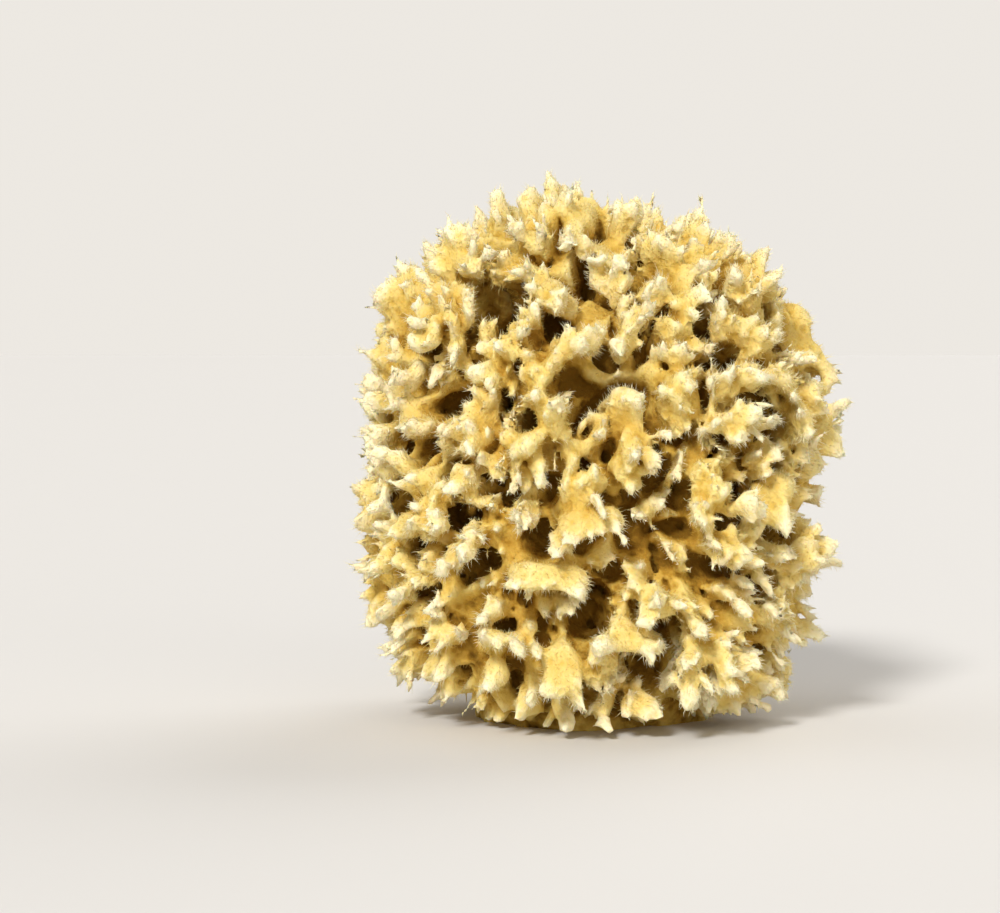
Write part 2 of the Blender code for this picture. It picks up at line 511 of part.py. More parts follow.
def main():
    for thing in list(bpy.data.objects):
        bpy.data.objects.remove(thing)
    rng = np.random.default_rng(7)
    mass = Mass(GRID_STEP)
    hollow, taken = model_front(mass)
    hollow = model_cavities(mass, rng, hollow)
    model_tufts(mass, rng, hollow, taken)
    mesh = simplified(mesh_of(mass), TRIANGLES)
    cut_flat(mesh)
    mesh.name = "sponge"
    mesh.materials.append(sponge_material())
    bpy.context.scene.collection.objects.link(bpy.data.objects.new("sponge", mesh))


main()
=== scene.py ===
"""The looks of a natural wool sponge: its fine surface, its frayed fibres, light and camera.

The mass is worked out in millimetres as the part's own solid is, on a finer grid and with
the small things that the solid leaves out: prongs, ragged crests, crumb and fibres. Features
of the front are placed by where they show from the camera, across and up from its middle.
"""
import math

import bmesh
import bpy
import numpy as np
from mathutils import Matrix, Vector


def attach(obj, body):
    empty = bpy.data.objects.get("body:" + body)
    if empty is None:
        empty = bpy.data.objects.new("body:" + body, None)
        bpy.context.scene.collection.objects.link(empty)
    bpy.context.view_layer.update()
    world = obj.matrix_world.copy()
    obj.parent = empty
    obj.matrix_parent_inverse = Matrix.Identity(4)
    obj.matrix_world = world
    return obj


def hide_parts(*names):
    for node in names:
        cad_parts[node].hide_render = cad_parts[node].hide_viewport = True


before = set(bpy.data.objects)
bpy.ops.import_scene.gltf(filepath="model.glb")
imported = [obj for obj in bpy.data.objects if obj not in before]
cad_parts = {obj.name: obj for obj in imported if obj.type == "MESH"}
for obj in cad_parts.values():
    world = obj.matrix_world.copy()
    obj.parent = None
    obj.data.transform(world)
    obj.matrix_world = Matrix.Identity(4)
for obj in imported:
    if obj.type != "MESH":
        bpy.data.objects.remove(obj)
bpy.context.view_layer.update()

# The mass, in millimetres
BALL_RADIUS = 45.0                     # the mass to the middle of its tufts, before it is stretched
STRETCH = np.array([0.93, 0.91, 1.07])  # width, depth and height of the mass against a round one
MIDDLE = np.array([0.0, 0.0, 48.5])    # the middle of the mass above its cut
PLAN_BOXINESS = 2.3                    # the mass from above: 2 is round, more is squarer
TOP_BOXINESS = 2.4                     # its side view above the middle
BASE_BOXINESS = 3.4                    # its side view below the middle, fuller, as it sat on the rock
BODY_RADIUS = 40.0                     # the mass between tufts and cavities
TUFT_ROOT = 34.0                       # how deep a tuft starts
RIDGE_STEP = 2.4                       # between the bars that a ridge, a web or a fan is made of
APART = (16.0, 12.5, 10.0, 8.0)        # degrees between the cavities that aren't listed
TRIES = (160, 1200, 4000, 8000)        # how often a place is tried for each of these
FOOT_RADIUS = 21.0                     # the stump at the cut
FOOT_HEIGHT = 9.0
TORN = 2.2                             # how much rougher than the mass the stump's side is
CLEAR_OF_FLOOR = 1.4                   # the lowest tuft tips end this far above the cut
VIEW_MIDDLE = np.array([0.0, 0.0, 50.5])  # the point that across and up are counted from
VIEW_DISTANCE = 535.0                  # from there to the camera
VIEW_RISE = math.radians(2.3)          # how far the camera looks down
VIEW_ASIDE = 17.7                      # how far the camera stands to the left of the middle
VIEW_BELOW = 0.3                       # and below it
GRID_STEP = 0.6                        # between the points that the mass is worked out at
REACH = 56.0                           # the grid ends this far from the middle, to each side
GRID_HEIGHT = 110.0
BELOW_CUT = 4.0                        # the grid starts this far below the cut
BODY_TRIANGLES = 190000                # of the body's own mesh, before its cut
WARP = ((1.7, 13.0, 10), (0.7, 5.0, 20))  # bends of the whole mass: how far, over what length, seed
SWELL = (1.5, 16.0, 31)                # the same for the body's own surface

# How softly, in millimetres, the shapes of one heap run into each other, and each heap into the mass
SOFTNESS = {"added": 0.8, "cut": 0.4, "last": 0.4, "bough": 0.35, "sprig": 0.25, "pore": 0.25}
TUFT_JOIN = 2.4
BOUGH_JOIN = 0.8
SPRIG_JOIN = 0.6
FOOT_JOIN = 1.5
CUT_EDGE = 0.6
LAST_EDGE = 1.0
PORE_EDGE = 0.3
PORE_TALL = 1.3                        # the height of a pore against its width
SEED = 7                               # of what is spread over the whole mass
FINE_SEED = 23                         # of prongs, jags and small things

# Surface detail, in millimetres
CRUMB = (0.24, 1.9, 41)                # how far, over what length, seed
LUMPS = (0.34, 3.6, 42)
PRONG = 0.35                           # the tip of a prong
TAPER = 1.7                            # 1 is a plain cone, more is thinner towards the tip
NEAR_AIR = 1.2                         # how far around a point its openness is taken: for its tone,
SPRIG_AIR = 1.6                        # for where small things grow,
SLOPE_AIR = 3.0                        # for the way they point,
WIDE_AIR = 3.4                         # and for the tone and lie of its wider surroundings
PATCH = (9.0, 51)                      # the length and seed of the noise for bare patches
SMOOTH_PATCHES = -0.30                 # boughs and sprigs leave out where the noise is under this
# Small things: kind, between which openness they grow, how many, length, thickness and that of the tip
BOUGHS = [("bough", 0.53, 0.66, 680, 4.6, 1.25, 0.4), ("bough", 0.66, 1.0, 560, 3.0, 1.0, 0.35)]
SPRIGS = [("sprig", 0.60, 0.72, 2300, 2.0, 0.8, 0.3), ("sprig", 0.72, 1.0, 2600, 2.0, 0.65, 0.28),
          ("pore", 0.30, 0.50, 1900, 2.2, 0.6, 0.0)]

# Fibres: kind, pieces, first seed, then how many for each square metre of light surface, their
# length and radius in metres, how far they bend, the tones between which they thicken, how far
# they lie towards free air, and the parts of each
FIBRES = [
    ("nap", 3, 0, {"Density": 530000.0, "Length": 0.0008, "Radius": 0.00005, "Bend": 1.6,
                   "Bare Below": 0.02, "Full Above": 0.45, "Combed": 0.8, "Parts": 1}),
    ("fray", 3, 100, {"Density": 460000.0, "Length": 0.0014, "Radius": 0.000065, "Bend": 2.2,
                      "Bare Below": 0.50, "Full Above": 0.85, "Combed": 2.6, "Parts": 3}),
]
LOWEST_FIBRE = 0.0055                  # no fibre is rooted below this
LOWEST_POINT = 0.0003                  # and none reaches lower than this
STRAND_MAP = "OFBake"                  # the map that holds a fibre's tone and the way along it

# The air around, as a light on the sponge and as the backdrop that the camera sees
AIR_COLOUR = (1.0, 0.96, 0.90, 1.0)
AIR_LIGHT = 0.28
AIR_SEEN = 0.845
FLOOR_HALF = 40.0
FLOOR_COLOUR = (0.73, 0.706, 0.672)
LENS = 100.0
SENSOR_WIDTH = 36.0

# Lights: name, place, how wide it looks in degrees, and power
LIGHTS = [("key", (-0.22, -0.60, 0.50), 12.0, 2.85), ("front", (0.25, -0.80, 0.20), 55.0, 0.9),
          ("back", (0.50, 0.60, 0.55), 50.0, 1.2), ("top", (-0.55, 0.25, 0.80), 60.0, 0.4)]

# Colours: the middle two are the sponge's own yellow; the first two are painted shade for its cavities and
# the last a painted highlight for its tips
DEEP_SHADE = (0.20, 0.100, 0.008)
HOLLOW_SHADE = (0.47, 0.270, 0.034)
FLESH = (0.70, 0.485, 0.108)
CREAM = (0.82, 0.655, 0.240)
TIP_HIGHLIGHT = (0.94, 0.860, 0.580)

# Cavities of the front: across, up, width, height, depth, turn in degrees
CAVITIES = [
    (-19.3, 31.8, 11.5, 9.0, 15, 0), (-18.9, 23.5, 3.2, 5.6, 9, 10), (-8.5, 24.9, 6.4, 4.6, 9, 0),
    (-18.1, 11.6, 3.2, 5.0, 8, 35), (-29.7, 11.0, 10.6, 4.6, 10, 0), (-3.7, 8.1, 3.8, 8.8, 13, 30),
    (5.0, 12.0, 7.0, 4.4, 13, 0), (-2.5, 37.8, 3.4, 6.0, 9, 0), (20.2, 29.3, 5.0, 9.4, 14, -8),
    (24.7, 26.8, 2.6, 4.0, 6, 0), (7.5, 27.6, 3.0, 4.8, 7, 0), (31.6, 23.9, 3.4, 2.8, 7, 0),
    (17.2, 17.9, 3.4, 4.2, 8, 0), (21.4, 17.7, 3.0, 3.6, 7, 0), (25.0, 19.0, 4.4, 6.0, 8, 0),
    (20.8, 11.6, 5.0, 4.6, 5, 0), (30.3, 11.0, 8.6, 6.2, 10, 0), (34.3, 3.7, 7.6, 8.2, 15, 0),
    (22.0, -1.2, 4.4, 2.8, 3, 0), (35.8, -2.3, 6.8, 5.6, 9, 0), (10.6, -3.7, 5.8, 7.6, 10, 0),
    (-27.0, -3.7, 6.6, 6.0, 9, 0), (-16.6, -7.9, 3.4, 2.8, 6, 0), (-26.8, -12.5, 8.6, 4.0, 10, 0),
    (-11.8, -17.7, 5.2, 6.0, 9, 0), (-34.9, -19.7, 5.6, 4.8, 9, 0), (6.4, -8.3, 3.2, 2.6, 7, 0),
    (28.7, -7.7, 3.0, 5.0, 9, 0), (25.6, -13.5, 7.6, 5.0, 9, 0), (14.3, -14.3, 5.6, 3.6, 7, 0),
    (21.8, -22.5, 8.8, 5.4, 7, 0), (28.5, -24.0, 3.2, 3.2, 9, 0), (-14.8, -29.3, 3.6, 3.0, 5, 0),
    (-2.0, -33.3, 7.2, 9.6, 13, 0), (10.4, -32.6, 5.6, 6.0, 9, 0), (14.2, -38.5, 3.6, 9.0, 10, 35),
    (6.9, -41.4, 7.0, 6.4, 7, 0), (31.0, 29.7, 4.4, 5.0, 9, 0), (41.2, 14.5, 4.6, 4.6, 8, 0),
    (-36.0, 0.5, 6.0, 4.0, 8, 0), (-21.5, -21.5, 6.0, 3.4, 7, 0), (-33.0, -28.0, 5.0, 4.0, 8, 0),
    (-13.7, 17.0, 2.8, 2.8, 5, 0), (9.0, 40.5, 5.0, 6.0, 9, 0), (24.0, 40.0, 6.0, 6.0, 10, 0),
    (-32.0, 36.5, 6.0, 6.0, 9, 0), (-22.0, 44.0, 6.0, 5.0, 9, 0), (-3.9, -2.1, 2.4, 4.2, 6, 0),
]

# Tufts of the front: root across and up, tip across and up, height, thickness at the root and tip
TUFTS = [
    (-26.4, 23.6, -28.2, 17.6, 5.5, 2.6, 1.4), (-9.5, 33.0, -16.4, 35.5, 6.0, 3.0, 1.5),
    (-9.0, 38.0, -15.6, 43.5, 5.5, 3.2, 1.6), (-7.5, 28.6, -7.9, 29.6, 6.0, 3.6, 2.6),
    (-1.7, 45.5, -6.0, 40.4, 6.0, 2.4, 1.5), (0.6, 34.0, -0.6, 37.4, 4.5, 2.8, 1.2),
    (3.0, 31.0, 3.4, 35.6, 4.0, 2.8, 1.1), (12.5, 28.6, 12.1, 33.7, 6.0, 2.4, 0.9),
    (14.1, 35.2, 13.3, 40.1, 5.5, 2.2, 1.0), (14.3, 35.4, 15.8, 38.7, 5.0, 2.0, 1.0),
    (15.5, 31.6, 20.9, 36.4, 6.5, 2.6, 1.2), (15.0, 28.6, 19.7, 31.0, 6.5, 2.4, 1.0),
    (20.8, 24.1, 23.4, 29.0, 6.5, 1.6, 0.8), (27.8, 27.6, 26.4, 34.3, 6.0, 2.6, 1.2),
    (28.4, 27.6, 31.0, 32.2, 6.0, 2.4, 1.1), (33.0, 25.0, 35.5, 29.6, 5.5, 2.4, 1.0),
    (24.4, 21.8, 25.2, 25.4, 5.0, 2.4, 1.0), (30.4, 20.6, 30.8, 21.8, 5.0, 2.6, 2.0),
    (5.2, 21.4, 3.6, 20.2, 5.0, 2.2, 1.0), (1.0, 6.6, 8.0, 11.2, 7.0, 2.6, 1.6),
    (-1.6, 7.6, -4.4, 11.4, 7.0, 2.2, 1.0), (15.4, 9.4, 15.4, 10.2, 5.0, 4.4, 3.4),
    (38.0, 25.0, 40.4, 26.0, 2.0, 2.6, 1.4), (38.2, 19.8, 46.4, 14.8, 4.0, 3.0, 1.2),
    (38.5, 6.0, 46.4, 2.6, 4.0, 3.0, 1.6), (44.0, 3.6, 48.6, -0.4, 4.0, 1.8, 1.1),
    (38.2, -2.0, 43.6, -3.2, 4.0, 2.8, 1.4), (29.5, 0.2, 34.6, 0.4, 6.5, 2.6, 1.2),
    (-19.0, 10.6, -24.0, 12.4, 5.5, 2.8, 1.2), (-16.4, 15.6, -22.2, 15.2, 5.5, 2.8, 1.2),
    (-20.6, 6.4, -24.4, 4.0, 6.0, 4.2, 2.4), (-32.0, 5.8, -37.4, 5.0, 5.0, 2.8, 1.2),
    (-30.0, -4.8, -37.0, -4.4, 5.0, 2.8, 1.2), (-22.5, -4.6, -28.2, -6.2, 6.5, 2.8, 1.2),
    (-28.3, -8.7, -34.2, -9.8, 6.0, 2.4, 1.0), (-8.0, -15.8, -8.8, -19.4, 6.5, 2.2, 1.6),
    (1.5, -10.6, 3.2, -15.2, 6.5, 2.2, 1.2), (-4.8, -3.4, -0.4, -9.2, 7.5, 1.8, 1.0),
    (5.4, 2.8, 9.4, 0.4, 6.5, 2.6, 1.0), (14.0, 0.8, 15.4, -5.4, 5.5, 2.2, 1.0),
    (22.4, -14.4, 27.8, -20.0, 7.0, 2.0, 1.0), (31.4, -3.4, 36.0, -14.0, 6.5, 3.2, 1.3),
    (36.0, -14.6, 40.2, -18.8, 4.0, 3.2, 1.8), (-18.0, -28.0, -23.4, -32.2, 6.0, 2.6, 1.1),
    (-28.6, -31.4, -33.6, -35.8, 4.5, 3.0, 1.3), (-27.6, -33.0, -31.0, -37.4, 4.5, 2.6, 1.3),
    (-33.4, -24.0, -38.0, -27.2, 4.5, 3.0, 1.2), (-13.0, -22.4, -17.8, -25.2, 6.0, 2.8, 1.3),
    (-7.0, -22.8, -3.6, -26.8, 6.0, 2.8, 1.4), (12.4, -25.0, 8.8, -32.4, 6.5, 3.4, 1.6),
    (7.0, -33.0, 0.2, -36.8, 6.5, 2.6, 1.2), (8.0, -34.0, 9.2, -37.8, 6.5, 2.6, 1.4),
    (24.0, -38.0, 25.6, -43.6, 4.0, 3.0, 1.4), (31.0, -28.5, 34.0, -30.6, 3.5, 3.2, 1.6),
    (-18.0, -39.5, -20.8, -44.6, 4.0, 2.8, 1.4), (-12.0, -44.5, -15.4, -51.0, 5.0, 3.0, 1.4),
    (-6.0, -45.5, -6.2, -52.6, 5.5, 3.0, 1.4), (0.5, -46.0, 1.2, -52.4, 5.5, 3.0, 1.4),
    (7.5, -45.0, 9.4, -51.0, 5.0, 3.0, 1.4), (-33.0, 14.6, -38.2, 15.0, 4.5, 2.8, 1.2),
    (-34.0, -14.0, -39.6, -15.6, 4.5, 2.8, 1.2), (-35.0, 27.0, -39.5, 29.5, 4.0, 3.0, 1.2),
]

# Ridges of the front: crest height, thickness, then points across and up
RIDGES = [
    (5.0, 1.7, [(-34.1, 22.4), (-29.3, 26.0), (-22.9, 29.6)]),
    (6.5, 1.2, [(-12.0, 26.8), (-15.8, 23.1), (-16.4, 19.8), (-12.9, 17.9)]),
    (5.0, 1.7, [(3.9, 22.5), (5.8, 25.6), (8.3, 28.3)]),
    (7.0, 1.6, [(20.0, 4.6), (26.6, 7.7), (32.6, 6.4)]),
    (7.0, 2.4, [(-9.0, 4.8), (-13.5, 2.2), (-19.2, -1.2)]),
    (5.5, 1.7, [(-36.4, -13.6), (-31.2, -12.9), (-24.0, -15.2)]),
    (6.5, 1.6, [(-20.2, -11.6), (-13.9, -10.8)]),
    (6.5, 1.7, [(-30.0, -19.0), (-25.0, -17.2), (-19.7, -15.4)]),
    (6.5, 2.2, [(22.4, -8.0), (19.8, -12.5), (21.6, -17.0)]),
    (5.5, 1.6, [(23.7, -9.4), (28.9, -10.4)]),
    (5.5, 2.0, [(-26.4, -34.0), (-19.7, -36.6), (-12.0, -38.5)]),
    (6.0, 1.6, [(11.0, -35.4), (12.6, -40.5), (13.6, -46.0)]),
    (5.0, 2.0, [(-10.0, 15.5), (-7.5, 20.0), (-2.0, 21.0)]),
    (6.0, 2.0, [(-12.5, 11.0), (-9.0, 7.5), (-7.0, 3.0)]),
    (6.5, 1.8, [(31.4, 15.6), (36.0, 14.6), (38.5, 9.0)]),
]

# Fans: root across and up, one end of the edge, the other end, height, thickness
FANS = [
    (-26.4, 32.6, -29.6, 41.4, -20.4, 39.8, 4.5, 1.5), (24.0, 8.4, 21.2, 15.8, 30.8, 15.6, 7.5, 1.5),
    (37.8, 12.0, 44.6, 12.4, 44.6, 7.4, 5.0, 1.6), (37.0, 9.0, 40.6, 5.0, 39.0, 1.2, 6.0, 1.6),
    (-3.3, -9.6, -7.6, -18.0, 1.2, -17.8, 7.5, 1.5), (-6.2, -35.6, -10.2, -45.4, -2.6, -45.6, 6.0, 1.7),
    (20.8, -32.2, 17.6, -46.0, 24.4, -44.6, 6.0, 1.6), (-10.8, -19.8, -15.8, -25.0, -4.8, -26.4, 5.5, 1.5),
]


def noise(shape, step, cell, seed):
    """Smooth random values on the grid, about -1 to 1, that change over one cell."""
    count = int(math.ceil(2 * REACH / cell)) + 6
    values = np.random.default_rng(seed).standard_normal((count, count, count)).astype(np.float32)
    for axis, length in enumerate(shape):
        place = np.arange(length) * step / cell
        first = np.floor(place).astype(int)
        t = (place - first).astype(np.float32)
        weights = ((1 - t) ** 3, 3 * t**3 - 6 * t**2 + 4, -3 * t**3 + 3 * t**2 + 3 * t + 1, t**3)
        values = np.moveaxis(values, axis, 0)
        values = sum(w.reshape(-1, 1, 1) * values[first + k] for k, w in enumerate(weights)) / 6
        values = np.moveaxis(values, 0, axis)
    return values * np.float32(2.2)


def smaller(a, b, soft):
    """The smaller of two values with a soft step between them."""
    t = np.clip(0.5 + 0.5 * (b - a) / soft, 0, 1)
    return b + (a - b) * t - soft * t * (1 - t)


def size_of(q):
    """How far out a point of the unstretched mass lies."""
    x, y, z = np.abs(q[..., 0]), np.abs(q[..., 1]), q[..., 2]
    plan = (x ** PLAN_BOXINESS + y ** PLAN_BOXINESS) ** (1 / PLAN_BOXINESS)
    power = np.where(z < 0, BASE_BOXINESS, TOP_BOXINESS).astype(z.dtype)
    return (plan ** power + np.abs(z) ** power) ** (1 / power)


def spot(across, up, lift):
    """The point of the unstretched mass that shows there from the front, lift above its tufts' middle."""
    back = np.array([0.0, math.cos(VIEW_RISE), -math.sin(VIEW_RISE)])
    rise = np.array([0.0, math.sin(VIEW_RISE), math.cos(VIEW_RISE)])
    eye = -VIEW_DISTANCE * back
    ray = across * np.array([1.0, 0.0, 0.0]) + up * rise - eye
    ray = ray / np.linalg.norm(ray)
    steps = np.linspace(VIEW_DISTANCE - 60, VIEW_DISTANCE + 10, 700)
    points = (eye + steps[:, None] * ray + VIEW_MIDDLE - MIDDLE) / STRETCH
    sizes = size_of(points)
    inside = np.nonzero(sizes <= BALL_RADIUS + lift)[0]
    return points[inside[0]] if len(inside) else points[sizes.argmin()]


def unit(vector):
    return vector / np.linalg.norm(vector)


def across_and_up(out):
    """Two directions along the surface where out points away from the middle."""
    side = unit(np.cross([0.0, 0.0, 1.0], out) + np.array([1e-6, 0.0, 0.0]))
    return side, np.cross(out, side)


class Mass:
    """The mass as distances on a grid. Shapes gather in soft heaps, added and cut."""

    def __init__(self, step):
        self.step = step
        self.low = np.array([-REACH, -REACH, -BELOW_CUT])
        self.shape = tuple(int(n) for n in np.ceil(np.array([2 * REACH, 2 * REACH, GRID_HEIGHT]) / step))
        self.axes = [np.arange(n, dtype=np.float32) * step + self.low[i] for i, n in enumerate(self.shape)]
        self.points = []
        for i in range(3):
            straight = ((self.axes[i] - MIDDLE[i]) / STRETCH[i]).astype(np.float32)
            straight = straight.reshape([-1 if j == i else 1 for j in range(3)])
            bends = [np.float32(far) * noise(self.shape, step, cell, seed + i) for far, cell, seed in WARP]
            self.points.append(straight + sum(bends))
        self.heaps = {kind: np.zeros(self.shape, np.float32) for kind in SOFTNESS}
        self.fine = np.random.default_rng(FINE_SEED)

    def cell(self, q):
        """The grid index of a point of the unstretched mass."""
        index = np.rint((q * STRETCH + MIDDLE - self.low) / self.step).astype(int)
        return tuple(np.clip(index, 0, np.array(self.shape) - 1))

    def bent(self, q):
        """Where a point lies once the grid's own bends are in."""
        cell = self.cell(q)
        return np.array([p[cell] for p in self.points])

    def around(self, ends, reach):
        """The box of grid points within reach of the ends."""
        low = np.array(self.cell(np.min(ends, 0) - reach))
        high = np.array(self.cell(np.max(ends, 0) + reach)) + 1
        return tuple(slice(a, b) for a, b in zip(low, high))

    def heap(self, kind, box, distance):
        self.heaps[kind][box] += np.exp(np.clip(-distance / SOFTNESS[kind], -30, 30))

    def spike(self, root, tip, thick, thin, kind="added"):
        """A round bar that tapers from its root to its tip."""
        box = self.around([root, tip], max(thick, thin) + 3.2)
        a = self.bent(root)
        run = (self.bent(tip) - a).astype(np.float32)
        x, y, z = (p[box] - np.float32(a[i]) for i, p in enumerate(self.points))
        t = np.clip((x * run[0] + y * run[1] + z * run[2]) / max(float(run @ run), 1e-6), 0, 1)
        away = np.sqrt((x - t * run[0]) ** 2 + (y - t * run[1]) ** 2 + (z - t * run[2]) ** 2)
        self.heap(kind, box, away - thin - (1 - t) ** TAPER * (thick - thin))

    def tuft(self, root, knee, tip, thick, thin):
        """A tuft from its root over its knee to its tip, which frays into prongs in one plane."""
        middle = thick * 0.6 + thin * 0.4
        self.spike(root, knee, thick * 1.5, middle)
        self.spike(knee, tip, middle, thin * 0.7)
        run = unit(tip - knee)
        side = unit(np.cross(run, self.fine.normal(size=3)))
        count = int(self.fine.integers(2, 5))
        for k in range(count):
            aside = (k - (count - 1) / 2) * self.fine.uniform(0.6, 1.1) * max(thin, 0.8)
            end = tip + run * self.fine.uniform(0.6, 2.2) + side * aside * 1.5
            end = end + self.fine.normal(size=3) * 0.35
            self.spike(tip - run * 1.5 + side * aside * 0.4, end, max(thin, 0.9), PRONG, "sprig")

    def cavity(self, kind, place, inward, side, wide, tall, deep):
        """An egg-shaped hollow: wide along side, tall across it and deep along inward."""
        centre = place + inward * deep * 0.45
        box = self.around([centre], max(wide, tall, deep) + 2.5)
        a = self.bent(centre)
        x, y, z = (p[box] - np.float32(a[i]) for i, p in enumerate(self.points))
        other = np.cross(inward, side)
        parts = [(x * np.float32(d[0]) + y * np.float32(d[1]) + z * np.float32(d[2])) / np.float32(s)
                 for d, s in ((side, wide), (other, tall), (inward, deep))]
        self.heap(kind, box, (np.sqrt(sum(p * p for p in parts)) - 1) * min(wide, tall, deep))

    def rise_of(self, far, cell, seed):
        """Noise that lifts and lowers the surface by about far."""
        return far * noise(self.shape, self.step, cell, seed)

    def gathered(self, kind):
        return -SOFTNESS[kind] * np.log(np.maximum(self.heaps[kind], 1e-12))

    def rough(self):
        """The large forms: the body with its cavities and tufts."""
        body = size_of(np.stack(self.points, -1)) - BODY_RADIUS - self.rise_of(*SWELL)
        mass = -smaller(-body, self.gathered("cut"), CUT_EDGE)
        mass = smaller(mass, self.gathered("added"), TUFT_JOIN)
        return -smaller(-mass, self.gathered("last"), LAST_EDGE)

    def small_things(self, mass, kinds):
        """Boughs and sprigs along crests and on tips, and pores in the low places."""
        air = openness(mass, self.step, SPRIG_AIR)
        wide_air = openness(mass, self.step, SLOPE_AIR)
        skin = np.abs(mass) < 0.5 * self.step
        skin[:, :, :int((CLEAR_OF_FLOOR + 4 - self.low[2]) / self.step)] = False
        skin &= self.rise_of(1.0, *PATCH) > SMOOTH_PATCHES
        for kind, low, high, count, length, thick, thin in kinds:
            sites = np.argwhere(skin & (air > low) & (air < high))
            sites = sites[self.fine.permutation(len(sites))[:count]]
            inner = np.clip(sites, 2, np.array(self.shape) - 3)
            steps = 2 * np.eye(3, dtype=int)
            slope = [wide_air[tuple((inner + d).T)] - wide_air[tuple((inner - d).T)] for d in steps]
            for site, steep in zip(sites, np.stack(slope, 1)):
                place = (site * self.step + self.low - MIDDLE) / STRETCH
                out = unit(unit(steep) * 0.8 + unit(place) * 0.5 + self.fine.normal(size=3) * 0.28)
                size = self.fine.uniform(0.7, 1.3)
                if kind == "pore":
                    side, other = across_and_up(out)
                    tall = thick * PORE_TALL * size
                    self.cavity(kind, place + out * 0.4, -out, side, thick * size, tall, length)
                else:
                    self.spike(place - out * 0.8, place + out * length * size, thick * size, thin, kind)

    def distances(self):
        """The finished mass: below zero is sponge."""
        mass = self.rough()
        self.small_things(mass, BOUGHS)
        mass = smaller(mass, self.gathered("bough"), BOUGH_JOIN)
        mass = -smaller(-mass, self.gathered("last"), BOUGH_JOIN)
        self.small_things(mass, SPRIGS)
        mass = smaller(mass, self.gathered("sprig"), SPRIG_JOIN)
        mass = -smaller(-mass, self.gathered("pore"), PORE_EDGE)
        crumbs = self.rise_of(*CRUMB) + self.rise_of(*LUMPS)
        mass += crumbs
        height = self.axes[2].reshape(1, 1, -1)
        mass = np.maximum(mass, CLEAR_OF_FLOOR - height)
        x, y = self.points[:2]
        foot = np.hypot(x * STRETCH[0], y * STRETCH[1]) - FOOT_RADIUS - 0.25 * height + TORN * crumbs
        foot = np.maximum(foot, height - FOOT_HEIGHT)
        mass = smaller(mass, foot, FOOT_JOIN)
        return np.maximum(mass, self.low[2] + 1.5 * self.step - height).astype(np.float32)


def spread(rng, taken, apart):
    """Directions for the cavities that aren't listed, each with its size in degrees."""
    directions = [d for d, size in taken]
    sizes = [size for d, size in taken]
    fresh = []
    for wanted, tries in zip(apart, TRIES):
        for _ in range(tries):
            direction = unit(rng.standard_normal(3))
            size = wanted * float(rng.uniform(0.88, 1.12))
            angles = np.degrees(np.arccos(np.clip(np.array(directions) @ direction, -1, 1)))
            if direction[2] < -0.95 or (angles < (np.array(sizes) + size) / 2).any():
                continue
            directions.append(direction)
            sizes.append(size)
            fresh.append((direction, size))
    return fresh


def between(directions):
    """Triples of neighbouring directions, as the faces of their hull."""
    hull = bmesh.new()
    for direction in directions:
        hull.verts.new(Vector(direction))
    hull.verts.index_update()
    bmesh.ops.convex_hull(hull, input=hull.verts)
    bmesh.ops.triangulate(hull, faces=hull.faces)
    triples = [[v.index for v in face.verts] for face in hull.faces]
    hull.free()
    return triples


def model_front(mass):
    """The listed features. Gives the cavities' and the other features' directions."""
    hollow = []
    for across, up, width, height, depth, turn in CAVITIES:
        place = spot(across, up, -0.5)
        view = unit(place * STRETCH - np.array([0.0, -VIEW_DISTANCE, 0.0]))
        inward = unit(view - 1.2 * unit(place))
        side, rise = across_and_up(-inward)
        side = unit(side * math.cos(math.radians(turn)) - rise * math.sin(math.radians(turn)))
        mass.cavity("last", place, inward, side, width * 0.58 + 0.3, height * 0.58 + 0.3, depth * 0.6 + 3.0)
        hollow.append((unit(place), math.degrees((width + height + 2.0) / 2 / BALL_RADIUS)))
    taken = []
    for across, up, tip_across, tip_up, lift, thick, thin in TUFTS:
        tip = spot(tip_across, tip_up, lift - 1.5)
        knee = spot(across * 0.6 + tip_across * 0.4, up * 0.6 + tip_up * 0.4, lift * 0.4 - 2.5)
        mass.tuft(spot(across, up, -9.0), knee, tip, thick * 1.05, thin * 0.65)
        taken.extend([unit(knee), unit(tip)])
    for lift, thick, points in RIDGES:
        for (a, b), (c, d) in zip(points, points[1:]):
            count = max(2, int(math.hypot(c - a, d - b) / RIDGE_STEP))
            for t in np.linspace(0, 1, count + 1):
                jag = mass.fine.uniform(-1, 1, 3)
                x = a + (c - a) * t
                y = b + (d - b) * t
                top = spot(x + jag[0] * 0.7, y + jag[1] * 0.7, lift - 1.0 + jag[2] * 2.0)
                mass.spike(spot(x, y, -8.0), top, thick * 1.4, thick * 0.3)
                taken.append(unit(top))
    for across, up, a, b, c, d, lift, thick in FANS:
        count = max(2, int(math.hypot(c - a, d - b) / RIDGE_STEP))
        for t in np.linspace(0, 1, count + 1):
            root = spot(across + (t - 0.5) * thick, up, -7.0)
            middle = spot((across + a + (c - a) * t) / 2, (up + b + (d - b) * t) / 2, lift * 0.35 - 1.0)
            jag = mass.fine.uniform(-1, 1, 3)
            tip = spot(a + (c - a) * t + jag[0], b + (d - b) * t + jag[1], lift - 0.5 + jag[2] * 2.2)
            mass.spike(root, middle, thick * 1.4, thick * 0.8)
            mass.spike(middle, tip, thick * 0.8, thick * 0.25)
            taken.append(unit(tip))
    return hollow, np.array(taken)


